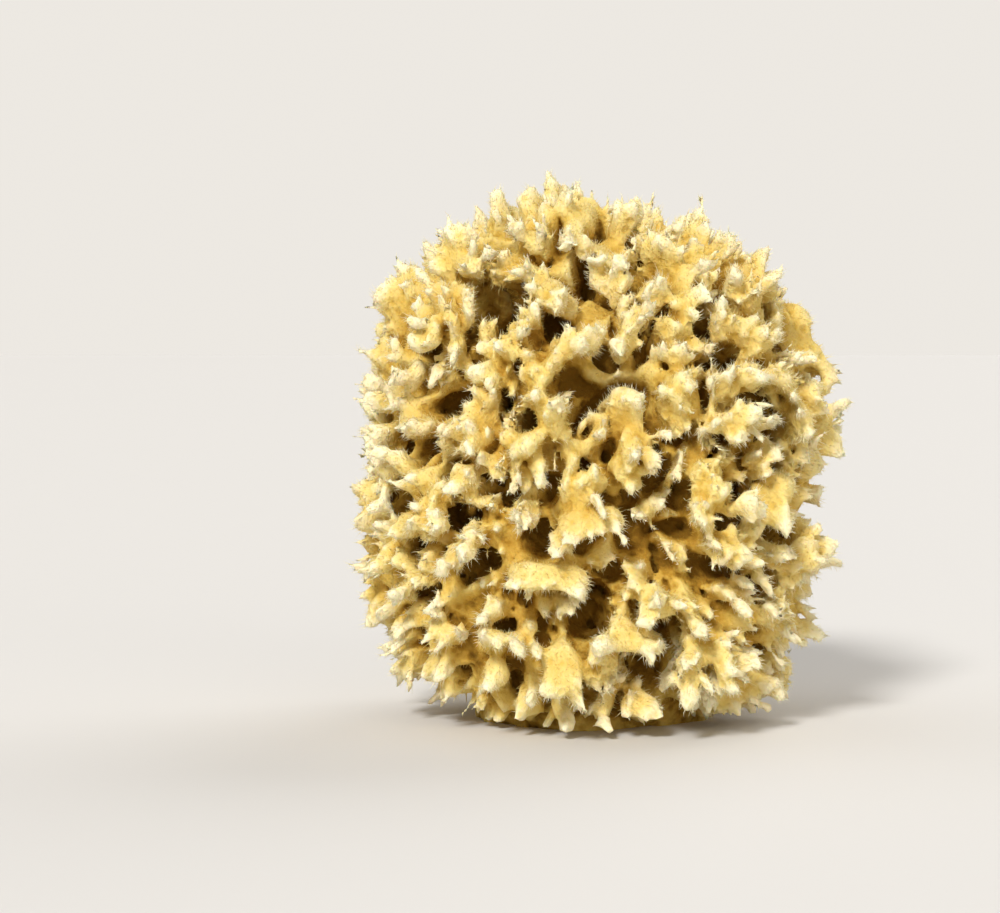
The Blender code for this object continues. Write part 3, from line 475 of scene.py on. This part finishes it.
def model_cavities(mass, rng, hollow):
    """Cavities over the rest of the mass."""
    fresh = spread(rng, hollow, APART)
    for direction, size in fresh:
        arc = math.radians(size) * BALL_RADIUS
        wide = arc * rng.uniform(0.36, 0.48)
        side, rise = across_and_up(direction)
        inward = unit(-direction + 0.25 * (side * rng.normal() + rise * rng.normal()))
        turn = rng.uniform(0, math.pi)
        side, rise = across_and_up(-inward)
        side = side * math.cos(turn) + rise * math.sin(turn)
        tall = min(wide * rng.uniform(1.0, 1.35), 5.0)
        place = direction * (BALL_RADIUS / size_of(direction) - 2.0)
        kind = "last" if rng.uniform() < 0.5 else "cut"
        mass.cavity(kind, place, inward, side, wide, tall, wide * rng.uniform(1.5, 2.6))
    return hollow + fresh


def model_tufts(mass, rng, hollow, taken):
    """A tuft wherever three cavities meet, and webs between neighbouring tufts."""
    directions = np.array([direction for direction, size in hollow])
    knees = {}
    walls = {}
    for number, triple in enumerate(between(directions)):
        sizes = np.array([hollow[i][1] for i in triple])
        out = unit((directions[triple] / sizes[:, None]).sum(0))
        side, rise = across_and_up(out)
        lean = 1.8 * (side * rng.normal() + rise * rng.normal())
        height = rng.uniform(-3.0, 2.0) + (3.0 if rng.uniform() > 0.8 else 0.0)
        thick = rng.uniform(3.1, 4.4) * min(math.radians(sizes.mean()) * BALL_RADIUS / 9.0, 1.3)
        if out[2] < -0.97:
            continue
        full = BALL_RADIUS / size_of(out)
        knees[number] = out * (full - 4.5) + lean * 0.4
        if np.degrees(np.arccos(np.clip(taken @ out, -1, 1))).min() > 5.0:
            mass.tuft(out * TUFT_ROOT, knees[number], out * (full + height) + lean, thick, 0.85)
        for i, j in ((0, 1), (1, 2), (0, 2)):
            walls.setdefault(tuple(sorted((triple[i], triple[j]))), []).append(number)
    for pair in walls.values():
        sag = rng.uniform(0.3, 3.0)
        if len(pair) == 2 and rng.uniform() < 0.7:
            model_wall(mass, knees[pair[0]], knees[pair[1]], sag, 1.0)


def model_wall(mass, a, b, sag, thick):
    """A web between two tufts. Its crest hangs by sag."""
    length = np.linalg.norm(b - a)
    if length > 14.0:
        return
    for t in np.linspace(0, 1, max(3, int(length / RIDGE_STEP) + 1))[1:-1]:
        crest = a + (b - a) * t
        crest = crest - unit(crest) * (sag * 4 * t * (1 - t) - 1.5 + mass.fine.uniform(-0.7, 0.7))
        mass.spike(unit(crest) * TUFT_ROOT, crest, thick * 1.6, thick * 0.7)


def surface_net(values):
    """The zero surface of values on a grid: a point in each cell it crosses, a quad round each edge."""
    shape = np.array(values.shape)
    inner = values < 0
    corners = [(i, j, k) for i in (0, 1) for j in (0, 1) for k in (0, 1)]
    mixed = np.zeros(shape - 1, bool)
    for i, j, k in corners[1:]:
        mixed |= inner[i:shape[0] - 1 + i, j:shape[1] - 1 + j, k:shape[2] - 1 + k] != inner[:-1, :-1, :-1]
    cells = np.argwhere(mixed)
    number = np.full(shape - 1, -1, np.int32)
    number[mixed] = np.arange(len(cells), dtype=np.int32)
    at = np.stack([values[tuple((cells + c).T)] for c in corners], 1)
    total = np.zeros((len(cells), 3), np.float32)
    count = np.zeros(len(cells), np.float32)
    for a in range(8):
        for b in range(a + 1, 8):
            step = np.array(corners[b]) - np.array(corners[a])
            if np.abs(step).sum() != 1:
                continue
            cross = (at[:, a] < 0) != (at[:, b] < 0)
            gap = np.where(cross, at[:, a] - at[:, b], 1)
            t = np.where(cross, at[:, a] / gap, 0)
            total += cross[:, None] * (np.array(corners[a]) + step * t[:, None])
            count += cross
    points = cells + total / count[:, None]
    quads = []
    for axis in range(3):
        turned = np.moveaxis(inner, axis, 0)
        cell_of = np.moveaxis(number, axis, 0)
        leaving = turned[:-1, 1:-1, 1:-1] & ~turned[1:, 1:-1, 1:-1]
        entering = ~turned[:-1, 1:-1, 1:-1] & turned[1:, 1:-1, 1:-1]
        for edges, order in ((leaving, (0, 1, 2, 3)), (entering, (3, 2, 1, 0))):
            if axis == 1:
                order = order[::-1]
            i, j, k = np.nonzero(edges)
            ring = [cell_of[i, j, k], cell_of[i, j + 1, k], cell_of[i, j + 1, k + 1], cell_of[i, j, k + 1]]
            quads.append(np.stack([ring[n] for n in order], 1))
    return points, np.concatenate(quads)


def openness(values, step, reach):
    """How much air is around each grid point, 0 to 1: low in a cavity, high at a free tip."""
    air = np.clip(0.5 + values / step, 0, 1).astype(np.float32)
    half = max(1, int(round(reach / step)))
    for _ in range(2):
        for axis in range(3):
            moved = np.moveaxis(air, axis, 0)
            padded = np.concatenate([moved[:1].repeat(half + 1, 0), moved, moved[-1:].repeat(half, 0)])
            run = np.cumsum(padded, 0, dtype=np.float32)
            air = np.moveaxis((run[2 * half + 1:] - run[:-2 * half - 1]) / (2 * half + 1), 0, axis)
    return air


def pieces_of(work):
    """The separate pieces of a mesh, each a list of vertices, largest first."""
    left = set(work.verts)
    pieces = []
    while left:
        piece = [left.pop()]
        for vertex in piece:
            for edge in vertex.link_edges:
                other = edge.other_vert(vertex)
                if other in left:
                    left.discard(other)
                    piece.append(other)
        pieces.append(piece)
    return sorted(pieces, key=len, reverse=True)


def simplified(mesh, triangles):
    """The same form with fewer triangles."""
    fine = bpy.data.objects.new("fine", mesh)
    bpy.context.scene.collection.objects.link(fine)
    decimate = fine.modifiers.new("decimate", "DECIMATE")
    decimate.ratio = triangles / (2 * len(mesh.polygons))
    decimate.use_collapse_triangulate = True
    coarse = bpy.data.meshes.new_from_object(fine.evaluated_get(bpy.context.evaluated_depsgraph_get()))
    bpy.data.objects.remove(fine)
    bpy.data.meshes.remove(mesh)
    return coarse


def cut_flat(mesh):
    """Keeps the one large piece and cuts it off flat at height zero."""
    work = bmesh.new()
    work.from_mesh(mesh)
    loose = [vertex for piece in pieces_of(work)[1:] for vertex in piece]
    bmesh.ops.delete(work, geom=loose, context="VERTS")
    every = work.verts[:] + work.edges[:] + work.faces[:]
    bmesh.ops.bisect_plane(work, geom=every, plane_co=(0, 0, 0), plane_no=(0, 0, -1), clear_outer=True)
    rim = [edge for edge in work.edges if edge.is_boundary]
    for edge in rim:
        for vertex in edge.verts:
            vertex.co.z = 0.0
    bmesh.ops.contextual_create(work, geom=rim)
    bmesh.ops.recalc_face_normals(work, faces=work.faces)
    bmesh.ops.triangulate(work, faces=work.faces)
    work.to_mesh(mesh)
    work.free()


def sample(values, cells):
    """Values of a grid at points between its cells."""
    cells = np.clip(cells, 0, np.array(values.shape) - 1.001)
    low = cells.astype(int)
    t = (cells - low).astype(np.float32)
    total = np.zeros(len(cells), np.float32)
    for i in (0, 1):
        for j in (0, 1):
            for k in (0, 1):
                weight = abs(1 - i - t[:, 0]) * abs(1 - j - t[:, 1]) * abs(1 - k - t[:, 2])
                total += weight * values[low[:, 0] + i, low[:, 1] + j, low[:, 2] + k]
    return total


def build_body():
    """The sponge's own mesh, with its tone of painted shade and highlight: 0 deep in a cavity, 1 at a free
    tip.
    """
    rng = np.random.default_rng(SEED)
    mass = Mass(GRID_STEP)
    hollow, taken = model_front(mass)
    hollow = model_cavities(mass, rng, hollow)
    model_tufts(mass, rng, hollow, taken)
    values = mass.distances()
    points, quads = surface_net(values)
    mesh = bpy.data.meshes.new("wool")
    mesh.vertices.add(len(points))
    mesh.vertices.foreach_set("co", ((points * mass.step + mass.low) / 1000).astype(np.float32).ravel())
    mesh.loops.add(quads.size)
    mesh.loops.foreach_set("vertex_index", quads.astype(np.int32).ravel())
    mesh.polygons.add(len(quads))
    mesh.polygons.foreach_set("loop_start", np.arange(len(quads), dtype=np.int32) * 4)
    mesh.update(calc_edges=True)
    mesh = simplified(mesh, BODY_TRIANGLES)
    cut_flat(mesh)
    places = np.empty(len(mesh.vertices) * 3, np.float32)
    mesh.vertices.foreach_get("co", places)
    cells = (places.reshape(-1, 3) * 1000 - mass.low) / mass.step
    near = sample(openness(values, mass.step, NEAR_AIR), cells)
    wide_air = openness(values, mass.step, WIDE_AIR)
    wide = sample(wide_air, cells)
    flow = np.stack([sample(part, cells) for part in np.gradient(wide_air)], -1)
    flow /= np.maximum(np.linalg.norm(flow, axis=1, keepdims=True), 1e-6)
    layer = mesh.attributes.new("flow", "FLOAT_VECTOR", "POINT")
    layer.data.foreach_set("vector", flow.astype(np.float32).ravel())
    sizes = size_of(np.stack([sample(p, cells) for p in mass.points], -1))
    # Painted shade and highlight: the tone falls where little air is around a point and deeper into the
    # mass, and rises at free tips.
    depth = np.clip((BALL_RADIUS - 2.0 - sizes) / 11.0, 0, 1)
    tone = 0.42 + 1.1 * (near - 0.55) + 0.9 * (wide - 0.55) - 0.42 * depth
    layer = mesh.attributes.new("tone", "FLOAT", "POINT")
    layer.data.foreach_set("value", np.clip(tone, 0, 1).astype(np.float32))
    mesh.shade_smooth()
    return mesh


class Value:
    """A shader socket that adds, takes away and multiplies as a number does."""

    def __init__(self, shader, socket):
        self.shader = shader
        self.socket = socket

    def math(self, operation, a, b, clamp=False):
        node = self.shader.nodes.new("ShaderNodeMath")
        node.operation = operation
        node.use_clamp = clamp
        for socket, value in zip(node.inputs, (a, b)):
            self.shader.feed(socket, value)
        return Value(self.shader, node.outputs[0])

    def __add__(self, other):
        return self.math("ADD", self, other)

    def __sub__(self, other):
        return self.math("SUBTRACT", self, other)

    def __rsub__(self, other):
        return self.math("SUBTRACT", other, self)

    def __mul__(self, other):
        return self.math("MULTIPLY", self, other)

    def ramp(self, low, high):
        """0 below low, 1 above high and even in between."""
        return self.math("MULTIPLY", self - low, 1 / (high - low), clamp=True)


class Shader:
    """A material and the nodes that it is made of."""

    def __init__(self, name):
        self.material = bpy.data.materials.new(name)
        self.material.use_nodes = True
        self.nodes = self.material.node_tree.nodes
        self.links = self.material.node_tree.links
        self.surface = self.nodes["Principled BSDF"]

    def feed(self, socket, value):
        if isinstance(value, Value):
            self.links.new(value.socket, socket)
        elif isinstance(value, tuple) and len(value) == 3 and socket.type == "RGBA":
            socket.default_value = (*value, 1.0)
        else:
            socket.default_value = value

    def node(self, kind, settings=None, output=0, **inputs):
        """Any node: its settings first, then its sockets by name, a space written as an underscore."""
        node = self.nodes.new(kind)
        for name, value in (settings or {}).items():
            setattr(node, name, value)
        for name, value in inputs.items():
            self.feed(node.inputs[name.replace("_", " ")], value)
        return Value(self, node.outputs[output])

    def place(self):
        return self.node("ShaderNodeTexCoord", output="Object")

    def attribute(self, name):
        return self.node("ShaderNodeAttribute", {"attribute_name": name}, output="Fac")

    def noise(self, place, scale, detail=2.0, roughness=0.5):
        return self.node("ShaderNodeTexNoise", output="Fac", Vector=place, Scale=scale,
                         Detail=detail, Roughness=roughness)

    def mix(self, factor, a, b, blend="MIX"):
        node = self.nodes.new("ShaderNodeMix")
        node.data_type = "RGBA"
        node.blend_type = blend
        for socket, value in ((node.inputs[0], factor), (node.inputs[6], a), (node.inputs[7], b)):
            self.feed(socket, value)
        return Value(self, node.outputs[2])

    def finish(self, **inputs):
        for name, value in inputs.items():
            self.feed(self.surface.inputs[name.replace("_", " ")], value)
        return self.material


def wool_colour(shader, tone):
    """The sponge's yellow, darkened by painted shade towards the recesses and lightened by a painted
    highlight at the tips.
    """
    colour = shader.mix(tone.ramp(0.02, 0.22), DEEP_SHADE, HOLLOW_SHADE)
    colour = shader.mix(tone.ramp(0.18, 0.42), colour, FLESH)
    colour = shader.mix(tone.ramp(0.42, 0.68), colour, CREAM)
    return shader.mix(tone.ramp(0.70, 1.0), colour, TIP_HIGHLIGHT)


def body_material():
    """Dry felted skeleton: mottled, full of crumbs and small pores, with painted shade in the pores."""
    shader = Shader("wool_sponge")
    place = shader.place()
    tone = shader.attribute("tone")
    patches = shader.noise(place, 42.0, 3.0)
    crumbs = shader.noise(place, 620.0, 4.0, 0.62)
    specks = shader.noise(place, 1900.0, 2.0)
    cells = shader.node("ShaderNodeTexVoronoi", output="Distance", Vector=place, Scale=430.0)
    pores = cells.ramp(0.12, 0.42)
    # Patches and crumbs are the sponge's own mottling; the pores' darkening is painted shade.
    tone = tone + (patches - 0.5) * 0.30 + (crumbs - 0.5) * 0.42 - (1 - pores) * 0.16
    colour = wool_colour(shader, tone)
    warmth = shader.noise(place, 90.0, 2.0).ramp(0.45, 0.72)
    colour = shader.mix(warmth * 0.3, colour, (0.82, 0.62, 0.32), "MULTIPLY")
    height = crumbs * 0.6 + specks * 0.25 + pores * 0.35
    bump = shader.node("ShaderNodeBump", output="Normal", Height=height, Strength=0.9, Distance=0.0008)
    return shader.finish(Base_Color=colour, Normal=bump, Roughness=0.92 - crumbs * 0.1,
                         Subsurface_Weight=0.3, Subsurface_Radius=(0.0028, 0.0017, 0.0006),
                         Specular_IOR_Level=0.15)


def fibre_material():
    """Single fibres: the map holds the tone of their root and how far along them a point lies."""
    shader = Shader("wool_fibre")
    node = shader.nodes.new("ShaderNodeUVMap")
    node.uv_map = STRAND_MAP
    split = shader.nodes.new("ShaderNodeSeparateXYZ")
    shader.links.new(node.outputs[0], split.inputs[0])
    root_tone = Value(shader, split.outputs[0])
    along = Value(shader, split.outputs[1])
    # The root's tone carries the body's painted shade and highlight, and each fibre is lighter towards its
    # tip.
    colour = wool_colour(shader, root_tone + 0.02 + along * 0.18)
    return shader.finish(Base_Color=colour, Roughness=0.85 - along * 0.1, Specular_IOR_Level=0.2,
                         Subsurface_Weight=0.15, Subsurface_Radius=(0.001, 0.0006, 0.0003))


def fibre_tree(material):
    """Geometry Nodes that grow thin bent spikes out of a surface, thickest where its tone is light."""
    tree = bpy.data.node_groups.new("fibres", "GeometryNodeTree")
    face = tree.interface
    face.new_socket("Geometry", in_out="INPUT", socket_type="NodeSocketGeometry")
    for name in ("Density", "Length", "Radius", "Bend", "Bare Below", "Full Above", "Combed"):
        face.new_socket(name, in_out="INPUT", socket_type="NodeSocketFloat")
    for name in ("Parts", "Seed"):
        face.new_socket(name, in_out="INPUT", socket_type="NodeSocketInt")
    face.new_socket("Geometry", in_out="OUTPUT", socket_type="NodeSocketGeometry")
    entry = tree.nodes.new("NodeGroupInput")

    def add(kind, settings=None, **inputs):
        node = tree.nodes.new(kind)
        for name, value in (settings or {}).items():
            setattr(node, name, value)
        for name, value in inputs.items():
            number = int(name[1:]) if name[0] == "s" and name[1:].isdigit() else None
            socket = node.inputs[name.replace("_", " ") if number is None else number]
            if isinstance(value, bpy.types.NodeSocket):
                tree.links.new(value, socket)
            else:
                socket.default_value = value
        return node

    def math_node(operation, a, b):
        return add("ShaderNodeMath", {"operation": operation}, s0=a, s1=b).outputs[0]

    def vector_node(operation, a, b):
        return add("ShaderNodeVectorMath", {"operation": operation}, s0=a, s1=b).outputs[0]

    def named(name, kind="FLOAT"):
        return add("GeometryNodeInputNamedAttribute", {"data_type": kind}, Name=name).outputs["Attribute"]

    def place():
        return add("ShaderNodeSeparateXYZ", s0=add("GeometryNodeInputPosition").outputs[0]).outputs

    tone = named("tone")
    open_enough = add("ShaderNodeMapRange", {"clamp": True}, Value=tone,
                      From_Min=entry.outputs["Bare Below"], From_Max=entry.outputs["Full Above"]).outputs[0]
    off_floor = math_node("GREATER_THAN", place()[2], LOWEST_FIBRE)
    density = math_node("MULTIPLY", math_node("MULTIPLY", open_enough, off_floor), entry.outputs["Density"])
    points = add("GeometryNodeDistributePointsOnFaces", {"distribute_method": "RANDOM"},
                 Mesh=entry.outputs["Geometry"], Density=density, Seed=entry.outputs["Seed"])
    cone = add("GeometryNodeMeshCone", {"fill_type": "NGON"}, Vertices=3, Radius_Top=0.0, Depth=1.0,
               Side_Segments=entry.outputs["Parts"], Radius_Bottom=1.0)
    corner = place()
    aside = math_node("ADD", corner[0], math_node("MULTIPLY", corner[1], 0.3))
    keep_along = add("GeometryNodeStoreNamedAttribute", {"data_type": "FLOAT", "domain": "POINT"},
                     Geometry=cone.outputs["Mesh"], Name="along", Value=corner[2])
    keep_aside = add("GeometryNodeStoreNamedAttribute", {"data_type": "FLOAT", "domain": "POINT"},
                     Geometry=keep_along.outputs[0], Name="aside", Value=aside)
    flow = named("flow", "FLOAT_VECTOR")
    combed = add("ShaderNodeVectorMath", {"operation": "SCALE"}, s0=flow, Scale=entry.outputs["Combed"])
    lean = vector_node("ADD", combed.outputs[0], points.outputs["Normal"])
    up = add("FunctionNodeAlignRotationToVector", {"axis": "Z"}, Vector=lean)
    tilt = add("FunctionNodeRandomValue", {"data_type": "FLOAT_VECTOR"}, Seed=entry.outputs["Seed"],
               s0=(-0.55, -0.55, -3.14), s1=(0.55, 0.55, 3.14))
    turned = add("FunctionNodeRotateRotation", {"rotation_space": "LOCAL"}, Rotation=up.outputs[0],
                 Rotate_By=tilt.outputs["Value"])
    share = add("FunctionNodeRandomValue", {"data_type": "FLOAT"}, Min=0.45, Max=1.25,
                Seed=math_node("ADD", entry.outputs["Seed"], 7.0))
    long = math_node("MULTIPLY", share.outputs[1], entry.outputs["Length"])
    size = add("ShaderNodeCombineXYZ", X=entry.outputs["Radius"], Y=entry.outputs["Radius"], Z=long)
    grown = add("GeometryNodeInstanceOnPoints", Points=points.outputs["Points"],
                Instance=keep_aside.outputs[0], Rotation=turned.outputs[0], Scale=size.outputs[0])
    real = add("GeometryNodeRealizeInstances", Geometry=grown.outputs[0])
    along = named("along")
    aside = named("aside")
    curl = add("ShaderNodeTexNoise", Scale=260.0, Detail=1.0)
    centred = vector_node("SUBTRACT", curl.outputs["Color"], (0.5, 0.5, 0.5))
    reach = math_node("MULTIPLY", math_node("MULTIPLY", along, along),
                      math_node("MULTIPLY", entry.outputs["Bend"], entry.outputs["Length"]))
    push = add("ShaderNodeVectorMath", {"operation": "SCALE"}, s0=centred, Scale=reach)
    bent = add("GeometryNodeSetPosition", Geometry=real.outputs[0], Offset=push.outputs[0])
    point = place()
    height = math_node("MAXIMUM", point[2], LOWEST_POINT)
    lifted = add("ShaderNodeCombineXYZ", X=point[0], Y=point[1], Z=height)
    clear = add("GeometryNodeSetPosition", Geometry=bent.outputs[0], Position=lifted.outputs[0])
    across = math_node("ADD", tone, math_node("MULTIPLY", aside, 0.004))
    strand = add("ShaderNodeCombineXYZ", X=across, Y=along)
    mapped = add("GeometryNodeStoreNamedAttribute", {"data_type": "FLOAT2", "domain": "CORNER"},
                 Geometry=clear.outputs[0], Name=STRAND_MAP, Value=strand.outputs[0])
    dressed = add("GeometryNodeSetMaterial", Geometry=mapped.outputs[0], Material=material)
    end = tree.nodes.new("NodeGroupOutput")
    tree.links.new(dressed.outputs[0], end.inputs[0])
    return tree


def grow(name, body, tree, sizes):
    """One piece of fibres on the body, as a plain mesh."""
    host = bpy.data.objects.new(name + "_host", body.data)
    bpy.context.scene.collection.objects.link(host)
    modifier = host.modifiers.new("fibres", "NODES")
    modifier.node_group = tree
    named = {item.name: item.identifier for item in tree.interface.items_tree if item.in_out == "INPUT"}
    for key, value in sizes.items():
        modifier[named[key]] = value
    mesh = bpy.data.meshes.new_from_object(host.evaluated_get(bpy.context.evaluated_depsgraph_get()))
    bpy.data.objects.remove(host)
    for extra in ("along", "aside", "tone", "flow"):
        if extra in mesh.attributes:
            mesh.attributes.remove(mesh.attributes[extra])
    mesh.name = name
    mesh.shade_smooth()
    return shown(name, mesh)


def shown(name, mesh):
    """An object at the origin that is part of the sponge."""
    piece = bpy.data.objects.new(name, mesh)
    bpy.context.scene.collection.objects.link(piece)
    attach(piece, "root")
    return piece


def set_stage():
    """A pale floor, a soft key light, and the camera where the sponge was seen from."""
    mesh = bpy.data.meshes.new("floor")
    corners = [(x * FLOOR_HALF, y * FLOOR_HALF, 0) for x, y in ((-1, -1), (1, -1), (1, 1), (-1, 1))]
    mesh.from_pydata(corners, [], [(0, 1, 2, 3)])
    floor = bpy.data.objects.new("floor", mesh)
    bpy.context.scene.collection.objects.link(floor)
    plain = Shader("floor")
    mesh.materials.append(plain.finish(Base_Color=FLOOR_COLOUR, Roughness=0.9))

    world = bpy.data.worlds.new("air")
    world.use_nodes = True
    air = world.node_tree.nodes["Background"]
    air.inputs["Color"].default_value = AIR_COLOUR
    seen = world.node_tree.nodes.new("ShaderNodeLightPath").outputs["Is Camera Ray"]
    strength = world.node_tree.nodes.new("ShaderNodeMapRange")
    strength.inputs["To Min"].default_value = AIR_LIGHT
    strength.inputs["To Max"].default_value = AIR_SEEN
    world.node_tree.links.new(seen, strength.inputs[0])
    world.node_tree.links.new(strength.outputs[0], air.inputs["Strength"])
    bpy.context.scene.world = world
    for name, place, angle, power in LIGHTS:
        data = bpy.data.lights.new(name, "SUN")
        data.angle = math.radians(angle)
        data.energy = power
        lamp = bpy.data.objects.new(name, data)
        lamp.location = place
        lamp.rotation_euler = (Vector((0, 0, 0.05)) - Vector(place)).to_track_quat("-Z", "Y").to_euler()
        bpy.context.scene.collection.objects.link(lamp)

    back = Vector((0.0, math.cos(VIEW_RISE), -math.sin(VIEW_RISE)))
    rise = Vector((0.0, math.sin(VIEW_RISE), math.cos(VIEW_RISE)))
    data = bpy.data.cameras.new("camera")
    data.lens = LENS
    data.sensor_width = SENSOR_WIDTH
    data.clip_end = 20.0
    camera = bpy.data.objects.new("camera", data)
    middle = Vector(VIEW_MIDDLE / 1000)
    aside = Vector((VIEW_ASIDE / 1000, 0, 0))
    camera.location = middle - back * (VIEW_DISTANCE / 1000) - aside - rise * VIEW_BELOW / 1000
    camera.rotation_euler = (math.pi / 2 - VIEW_RISE, 0.0, 0.0)
    bpy.context.scene.collection.objects.link(camera)
    bpy.context.scene.camera = camera
    bpy.context.scene.view_settings.view_transform = "Standard"


def main():
    set_stage()
    wool = body_material()
    strand = fibre_material()
    mesh = build_body()
    mesh.materials.append(wool)
    body = shown("sponge_body", mesh)
    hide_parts("sponge")
    tree = fibre_tree(strand)
    for kind, count, seed, sizes in FIBRES:
        for number in range(count):
            grow(f"{kind}_{number + 1}", body, tree, {**sizes, "Seed": seed + number})


main()
